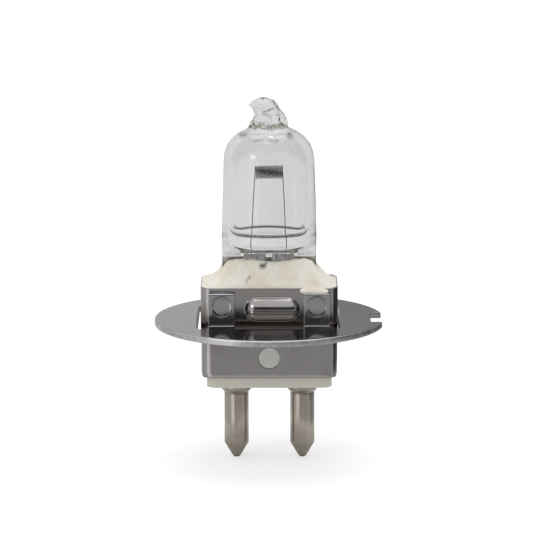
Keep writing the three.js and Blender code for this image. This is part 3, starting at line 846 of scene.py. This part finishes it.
def pin_shape(side):
    """A turned pin: flat tip, cone, shank, groove, collar, hidden stem, swaged rim and bore."""
    tip, top = pin_low[2], pin_high[2]
    foot = base_low[2]
    radius = PIN_RADIUS
    outline = [
        [0.0, tip], [0.41, tip], [0.47, tip + 0.09],
        [radius, tip + 1.30], [radius, foot - 1.06],
        [radius - 0.06, foot - 1.02], [radius - 0.06, foot - 0.96],
        [radius + 0.04, foot - 0.92],
        [radius + 0.40, foot - 0.52], [radius + 0.43, foot - 0.03], [radius, foot - 0.03],
        [radius, top - 0.3], [radius + 0.26, top - 0.3], [radius + 0.16, top],
        [0.45, top], [0.45, tip + 1.6], [0.0, tip + 1.3],
    ]
    cuts = [0.03, 0.05, 0.07, 0.03, 0.02, 0.02, 0.04, 0.12, 0.04, 0.02, 0.02, 0.05, 0.1, 0.05, 0.1]
    profile = eased(outline, cuts, 5)
    return turned_skin(profile, 72, (side * PIN_X, 0.0))


def solder_shape(side):
    """A flat bead on the pin's tip: a squashed, slightly lumpy dome."""
    low, high = solder_low[2], pin_low[2] + 0.04
    turn = np.linspace(0, np.pi / 2, 10)
    bead_radius = 0.38
    dome = stacked(bead_radius * np.sin(turn), high - (high - low) * np.cos(turn) ** 0.8)
    profile = np.vstack([dome, [[0.0, high]]])
    points, faces = turned_skin(profile, 36, (side * PIN_X, 0.0))
    points[:, 2] += 0.012 * lumps(points, 0.4, seed=51) * (points[:, 2] > low + 0.02)
    return points, faces


# ---- Materials ----

def start_material(name, colour, roughness, metallic=0.0):
    """A principled material, its node tree and its shader."""
    material = bpy.data.materials.new(name)
    material.use_nodes = True
    tree = material.node_tree
    shader = tree.nodes["Principled BSDF"]
    shader.inputs["Base Color"].default_value = (*colour, 1)
    shader.inputs["Roughness"].default_value = roughness
    shader.inputs["Metallic"].default_value = metallic
    return material, tree, shader


def millimetres(tree, stretch=(1, 1, 1)):
    """Object coordinates in millimetres, divided by a stretch along each axis."""
    place = tree.nodes.new("ShaderNodeTexCoord")
    mapping = tree.nodes.new("ShaderNodeMapping")
    mapping.inputs["Scale"].default_value = [1 / MM / s for s in stretch]
    tree.links.new(place.outputs["Object"], mapping.inputs["Vector"])
    return mapping.outputs["Vector"]


def noise(tree, scale, detail=3.0, roughness=0.55, stretch=(1, 1, 1)):
    """Cloudy noise with that many blotches to the millimetre, drawn out by a stretch along each axis."""
    node = tree.nodes.new("ShaderNodeTexNoise")
    node.inputs["Scale"].default_value = scale
    node.inputs["Detail"].default_value = detail
    node.inputs["Roughness"].default_value = roughness
    tree.links.new(millimetres(tree, stretch), node.inputs["Vector"])
    return node.outputs["Fac"]


def remapped(tree, value, low, high, new_low, new_high):
    """A value scaled from one range to another and held inside it."""
    node = tree.nodes.new("ShaderNodeMapRange")
    for name, number in (("From Min", low), ("From Max", high), ("To Min", new_low), ("To Max", new_high)):
        node.inputs[name].default_value = number
    tree.links.new(value, node.inputs["Value"])
    return node.outputs["Result"]


def blended(tree, share, first, second):
    """Two colours mixed by a share. Either may be a socket or a plain colour."""
    node = tree.nodes.new("ShaderNodeMix")
    node.data_type = "RGBA"
    tree.links.new(share, node.inputs["Factor"])
    for name, colour in (("A", first), ("B", second)):
        socket = [s for s in node.inputs if s.name == name and s.type == "RGBA"][0]
        if isinstance(colour, tuple):
            socket.default_value = (*colour, 1)
        else:
            tree.links.new(colour, socket)
    return [s for s in node.outputs if s.type == "RGBA"][0]


def shaded(tree, value, low, high, first, second):
    """The first colour where a value is low or less, the second where it is high or more, mixed between."""
    return blended(tree, remapped(tree, value, low, high, 0, 1), first, second)


def added(tree, first, second, weight):
    """The first value plus the second times a weight."""
    node = tree.nodes.new("ShaderNodeMath")
    node.operation = "MULTIPLY_ADD"
    tree.links.new(second, node.inputs[0])
    node.inputs[1].default_value = weight
    tree.links.new(first, node.inputs[2])
    return node.outputs["Value"]


def bumped(tree, shader, height, depth, strength):
    """Surface relief of a depth in millimetres."""
    node = tree.nodes.new("ShaderNodeBump")
    node.inputs["Strength"].default_value = strength
    node.inputs["Distance"].default_value = depth * MM
    tree.links.new(height, node.inputs["Height"])
    tree.links.new(node.outputs["Normal"], shader.inputs["Normal"])


def marked(tree):
    """The mesh's stored marks, 0 to 1: painted shade, and on the cement also dark marks."""
    marks = tree.nodes.new("ShaderNodeAttribute")
    marks.attribute_name = "marks"
    return marks.outputs["Fac"]


# Less than fused quartz's own 1.46: with that, total reflection darkens the foot of the gas space.
QUARTZ_INDEX = 1.15


def quartz_finish(name, light, dark, coat):
    """Fused quartz: a drifting grey, near black where the marks paint refraction's shade, drawn ripples and
    a clear coat.
    """
    material, tree, shader = start_material(name, light, 0.02)
    shader.inputs["Transmission Weight"].default_value = 1.0
    shader.inputs["IOR"].default_value = QUARTZ_INDEX
    drawn = noise(tree, 0.55, 2, stretch=(1, 1, 14))
    cloud = noise(tree, 0.25, 2)
    tree.links.new(remapped(tree, cloud, 0.35, 0.65, 0.0, 0.035), shader.inputs["Roughness"])
    colour = shaded(tree, cloud, 0.3, 0.7, dark, light)
    # Painted shade: refraction's dark line at the ridge and dark patches at the tip, as near-black colour.
    colour = blended(tree, marked(tree), colour, (0.02, 0.02, 0.02))
    tree.links.new(colour, shader.inputs["Base Color"])
    shader.inputs["Coat Weight"].default_value = coat
    shader.inputs["Coat Roughness"].default_value = 0.03
    bumped(tree, shader, drawn, 0.01, 0.15)
    return material


def tungsten_finish():
    """Dark drawn wire, greyer along its die marks."""
    material, tree, shader = start_material("tungsten", (0.12, 0.12, 0.125), 0.42, 1.0)
    grain = noise(tree, 9.0)
    colour = shaded(tree, grain, 0.35, 0.65, (0.085, 0.085, 0.09), (0.19, 0.19, 0.195))
    tree.links.new(colour, shader.inputs["Base Color"])
    tree.links.new(remapped(tree, grain, 0.3, 0.7, 0.35, 0.55), shader.inputs["Roughness"])
    return material


def molybdenum_finish():
    """Matt foil with fine lengthwise marks. Its glow stands for the light the glass lets in."""
    material, tree, shader = start_material("molybdenum", (0.10, 0.10, 0.10), 0.55, 0.9)
    marks = noise(tree, 1.6, 4, 0.7, (0.12, 1, 3))
    colour = shaded(tree, marks, 0.35, 0.62, (0.07, 0.07, 0.066), (0.32, 0.32, 0.31))
    tree.links.new(colour, shader.inputs["Base Color"])
    tree.links.new(colour, shader.inputs["Emission Color"])
    shader.inputs["Emission Strength"].default_value = 0.9
    bumped(tree, shader, marks, 0.02, 0.6)
    return material


def height_band(tree, foot, head):
    """1 at the height foot, falling to 0 at the height head and just below the foot, in millimetres."""
    split = tree.nodes.new("ShaderNodeSeparateXYZ")
    tree.links.new(millimetres(tree), split.inputs["Vector"])
    fall = remapped(tree, split.outputs["Z"], foot, head, 1, 0)
    cut = remapped(tree, split.outputs["Z"], foot - 0.6, foot, 0, 1)
    node = tree.nodes.new("ShaderNodeMath")
    node.operation = "MULTIPLY"
    tree.links.new(fall, node.inputs[0])
    tree.links.new(cut, node.inputs[1])
    return node.outputs["Value"]


def sheet_metal_finish(name, dark, light, least_rough, most_rough, stain_scale, painted_shade_heights=None):
    """Nickel-plated sheet: stains, rolling marks and fine scratches, painted shade of dark brown between
    heights.
    """
    material, tree, shader = start_material(name, light, least_rough, 1.0)
    stain = noise(tree, stain_scale, 4, 0.6)
    rolled = noise(tree, 0.9, 3, 0.5, (9, 9, 0.5))
    scratches = noise(tree, 1.0, 4, 0.6, (0.3, 0.3, 9))
    speckle = noise(tree, 2.5, 2)
    colour = shaded(tree, stain, 0.32, 0.68, dark, light)
    # Painted shade: dark brown, strongest at the lower height and fading out by the upper one, for the
    # darker reflection low on the shell.
    if painted_shade_heights:
        uneven = added(tree, height_band(tree, *painted_shade_heights), stain, 0.3)
        colour = shaded(tree, uneven, 0.15, 1.1, colour, (0.115, 0.095, 0.085))
    tree.links.new(colour, shader.inputs["Base Color"])
    roughness = added(tree, remapped(tree, stain, 0.3, 0.7, least_rough, most_rough), speckle, 0.03)
    tree.links.new(roughness, shader.inputs["Roughness"])
    bumped(tree, shader, added(tree, rolled, scratches, 0.5), 0.002, 0.25)
    return material


def pin_finish():
    """Warm nickel plate over turned brass: marks along the pin, brassy where it is rubbed."""
    material, tree, shader = start_material("pin_plate", (0.42, 0.37, 0.31), 0.26, 1.0)
    along = noise(tree, 0.8, 4, 0.65, (0.22, 0.22, 7))
    stain = noise(tree, 0.7)
    colour = shaded(tree, along, 0.25, 0.75, (0.38, 0.34, 0.29), (0.51, 0.465, 0.41))
    colour = blended(tree, remapped(tree, stain, 0.52, 0.75, 0, 0.4), colour, (0.31, 0.24, 0.18))
    tree.links.new(colour, shader.inputs["Base Color"])
    tree.links.new(remapped(tree, stain, 0.3, 0.7, 0.14, 0.26), shader.inputs["Roughness"])
    bumped(tree, shader, along, 0.003, 0.3)
    return material


def solder_finish():
    """Dull grey solder."""
    material, tree, shader = start_material("solder", (0.18, 0.17, 0.16), 0.5, 1.0)
    grain = noise(tree, 7.0)
    colour = shaded(tree, grain, 0.3, 0.7, (0.12, 0.11, 0.10), (0.30, 0.28, 0.26))
    tree.links.new(colour, shader.inputs["Base Color"])
    bumped(tree, shader, grain, 0.02, 0.6)
    return material


def ceramic_finish():
    """Unglazed beige steatite: fine grain and faint dirt."""
    material, tree, shader = start_material("ceramic", (0.50, 0.48, 0.40), 0.62)
    grain = noise(tree, 8.0, 4, 0.7)
    dirt = noise(tree, 0.5, 4)
    colour = shaded(tree, grain, 0.3, 0.7, (0.41, 0.40, 0.345), (0.46, 0.45, 0.39))
    colour = blended(tree, remapped(tree, dirt, 0.55, 0.8, 0, 0.5), colour, (0.37, 0.34, 0.28))
    tree.links.new(colour, shader.inputs["Base Color"])
    tree.links.new(remapped(tree, grain, 0.3, 0.7, 0.5, 0.75), shader.inputs["Roughness"])
    bumped(tree, shader, grain, 0.015, 0.5)
    return material


def cement_finish(name, light, dark, sand):
    """Rough cement: sandy grain, pores, stains, and near black where the marks say so: painted shade in its
    pit and crack, and dark marks.
    """
    material, tree, shader = start_material(name, light, 0.95)
    grain = noise(tree, 5.0, 6, 0.75)
    stain = noise(tree, 0.42, 4, 0.6)
    pores = noise(tree, 2.2, 3, 0.8)
    colour = shaded(tree, stain, 0.35, 0.65, light, dark)
    colour = blended(tree, remapped(tree, grain, 0.55, 0.75, 0, 0.35), colour, sand)
    colour = blended(tree, remapped(tree, pores, 0.66, 0.74, 0, 0.6), colour, (0.36, 0.33, 0.29))
    # Near black from the marks: painted shade in the pit and crack, and a few dark marks.
    colour = blended(tree, marked(tree), colour, (0.035, 0.030, 0.025))
    tree.links.new(colour, shader.inputs["Base Color"])
    bumped(tree, shader, added(tree, grain, pores, -0.5), 0.06, 0.7)
    return material


def floor_finish():
    """Pale grey studio floor with the faintest drift of tone, and a white glow of its own."""
    material, tree, shader = start_material("studio_floor", (0.55, 0.55, 0.55), 0.9)
    cloud = noise(tree, 0.002, 2)
    colour = shaded(tree, cloud, 0.3, 0.7, (0.54, 0.54, 0.54), (0.56, 0.56, 0.56))
    tree.links.new(colour, shader.inputs["Base Color"])
    shader.inputs["Emission Color"].default_value = (1, 1, 1, 1)
    shader.inputs["Emission Strength"].default_value = 0.47
    return material


# ---- Putting the lamp together ----

# The outer quartz's grey tint is painted shade: it stands for a grey backdrop seen through the glass.
quartz = quartz_finish("quartz", (0.60, 0.598, 0.60), (0.57, 0.568, 0.57), 0.6)
quartz_bore = quartz_finish("quartz_bore", (1.0, 1.0, 1.0), (0.98, 0.98, 0.98), 0.0)
tungsten = tungsten_finish()
molybdenum = molybdenum_finish()
# The shell's painted shade is darkest just above the flange and fades out up its face.
shell_plate = sheet_metal_finish(
    "shell_plate", (0.34, 0.325, 0.315), (0.42, 0.405, 0.40), 0.09, 0.20, 0.35, painted_shade_heights=(0.3, 2.9))
flange_plate_metal = sheet_metal_finish(
    "flange_plate", (0.36, 0.36, 0.37), (0.43, 0.43, 0.445), 0.08, 0.16, 0.22)
cut_edge = sheet_metal_finish("cut_edge", (0.42, 0.41, 0.41), (0.66, 0.645, 0.64), 0.34, 0.5, 1.6)
pin_plate = pin_finish()
solder = solder_finish()
ceramic = ceramic_finish()
cement = cement_finish("cement", (0.74, 0.715, 0.655), (0.66, 0.605, 0.51), (0.80, 0.78, 0.74))
plug_cement = cement_finish("plug_cement", (0.46, 0.45, 0.43), (0.40, 0.39, 0.37), (0.50, 0.49, 0.475))

glass = envelope_outside()
bulb = make_piece("quartz_bulb", joined(glass, envelope_cavity()), quartz, ["quartz_envelope"])
outside_count = sum(len(faces) for faces in glass[1])
add_material(bulb, quartz_bore, np.arange(len(bulb.data.polygons)) >= outside_count)
store_marks(bulb, glass_painted_shade)
wire_path = filament_path()
wire = swept(wire_path, wire_radius(wire_path), 10)
make_piece("tungsten_coil", wire, tungsten, ["filament"])
for side, name in ((-1, "left"), (1, "right")):
    make_piece(f"ribbed_foil_{name}", foil_shape(side), molybdenum, [f"foil_{name}"])
    make_piece(f"turned_pin_{name}", pin_shape(side), pin_plate, [f"pin_{name}"])
    make_piece(f"solder_bead_{name}", solder_shape(side), solder, [f"solder_{name}"])
    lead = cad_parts[f"lead_{name}"].data
    lead.materials.clear()
    lead.materials.append(molybdenum)

can = make_piece("drawn_shell", shell_shape(), shell_plate, ["base_shell"])
wall = can.modifiers.new("wall", "SOLIDIFY")
wall.thickness = SHELL_WALL * MM
wall.offset = -1
soften_edges(can, 0.05, angle=75)

tongues = [tongue_shape(side, front) for side in (-1, 1) for front in (-1, 1)]
flange_skin = joined(flange_plate(), *tongues)
disc = make_piece("flange_disc", flange_skin, flange_plate_metal, ["prefocus_flange"])
face_radius = [math.hypot(face.center[0], face.center[1]) / MM for face in disc.data.polygons]
add_material(disc, cut_edge, np.array(face_radius) > FLANGE_RADIUS - 0.05)
make_piece("ceramic_block", ceramic_shape(), ceramic, ["ceramic_base"])
mound = make_piece("cement_mound", joined(cement_shape(), drip_shape()), cement, ["cement"])
store_marks(mound, cement_dark_marks_and_painted_shade)
make_piece("cement_dot_front", plug_shape(-1), plug_cement, ["cement_plug_front"])
make_piece("cement_dot_back", plug_shape(1), plug_cement, ["cement_plug_back"])


# ---- Studio ----

def stage_mesh(name, shape, material):
    """A part of the studio, points in millimetres."""
    stand = mesh_object(name, shape, material)
    return stand


def studio_floor():
    """A large round floor just below the solder beads, fine near the lamp and coarse far off."""
    radius = 900.0 * np.linspace(0, 1, 14)[1:] ** 2
    height = FLOOR_HEIGHT - 0.01
    shape = skin(turned_loops(stacked(radius, height), 96), (0, 0, height), flip=True)
    stage_mesh("studio_floor", shape, floor_finish())


def studio_card(name, azimuths, shade, start, end):
    """A sector round the lamp, seen only in its polished surfaces. 0 degrees is the front.

    It is the line from start to end, each a distance from the axis and a height, swept through azimuths.
    """
    columns = 25
    angle = np.radians(np.linspace(azimuths[0], azimuths[1], columns))
    profile = np.array([start, end])
    points = stacked(profile[:, :1] * np.sin(angle), -profile[:, :1] * np.cos(angle), profile[:, 1:])
    faces = [grid_quads(2, columns, wrap_columns=False)]
    material, _, shader = start_material(name, (shade, shade, shade), 1.0)
    shader.inputs["Specular IOR Level"].default_value = 0
    only_in_reflections(stage_mesh(name, (points.reshape(-1, 3), faces), material))


def only_in_reflections(card):
    """Keeps a card out of the view, the shadows, the soft light and the glass's depth."""
    card.visible_camera = False
    card.visible_diffuse = False
    card.visible_transmission = False
    card.visible_shadow = False


def softbox(name, place, aim, size, power):
    """A white square area light, place, aim and size in millimetres, power in watts."""
    light = bpy.data.lights.new(name, "AREA")
    light.shape = "RECTANGLE"
    light.size = light.size_y = size * MM
    light.energy = power
    lamp = bpy.data.objects.new(name, light)
    place, aim = Vector(place) * MM, Vector(aim) * MM
    lamp.location = place
    lamp.rotation_euler = (aim - place).to_track_quat("-Z", "Y").to_euler()
    bpy.context.scene.collection.objects.link(lamp)


def studio_world(strength):
    """Even soft light from all round."""
    world = bpy.data.worlds.new("studio")
    world.use_nodes = True
    background = world.node_tree.nodes["Background"]
    background.inputs["Color"].default_value = (1, 1, 1, 1)
    background.inputs["Strength"].default_value = strength
    bpy.context.scene.world = world


def studio_camera():
    """The view: a long lens, a little above the flange, turned slightly round its own axis."""
    elevation, distance, roll = math.radians(11.1), 305.0, math.radians(-0.1)
    aim = Vector((0.56, 0.0, 4.72))
    back = Vector((0, -math.cos(elevation), math.sin(elevation)))
    lens = bpy.data.cameras.new("camera")
    focal_length, film_width = 208.4, 36
    lens.lens = focal_length
    lens.sensor_width = film_width
    lens.clip_start, lens.clip_end = 0.005, 20
    camera = bpy.data.objects.new("camera", lens)
    turn = back.to_track_quat("Z", "Y").to_matrix().to_4x4() @ Matrix.Rotation(roll, 4, "Z")
    camera.matrix_world = Matrix.Translation((aim + back * distance) * MM) @ turn
    bpy.context.scene.collection.objects.link(camera)
    bpy.context.scene.camera = camera


studio_floor()
studio_world(0.98)
softbox("top_softbox", (0, 60, 330), (0, 0, 0), 260, 0.35)
softbox("left_softbox", (-163, -169, 101), (0, 0, 15), 56, 0.065)

low, top = FLOOR_HEIGHT + 0.4, 190.0
hem, middle, edge = (16.0, low), (44.0, low), (190.0, low)
beneath = FLOOR_HEIGHT + 0.02
for name, azimuths, shade, start, end in (
    ("front_floor", (-26, 62), 0.40, hem, edge),
    ("front_wall", (-26, 62), 0.04, edge, (190.0, 66)),
    ("under_floor", (0, 360), 0.66, (0.5, beneath), (16.0, beneath)),
    ("right_near", (66, 118), 0.32, hem, middle),
    ("right_floor", (66, 118), 0.05, middle, edge),
    ("right_wall", (66, 118), 0.10, edge, (190.0, top)),
    ("back_right_near", (118, 180), 0.50, hem, middle),
    ("back_right_floor", (118, 180), 0.05, middle, edge),
    ("back_right_wall", (118, 180), 0.26, edge, (190.0, top)),
    ("back_left_floor", (180, 250), 0.55, hem, edge),
    ("back_left_wall", (180, 250), 0.50, edge, (190.0, top)),
    ("left_floor", (250, 306), 0.50, hem, edge),
    ("left_wall", (250, 306), 0.60, edge, (190.0, top)),
):
    studio_card(name, azimuths, shade, start, end)
studio_camera()
bpy.context.scene.view_settings.view_transform = "Standard"
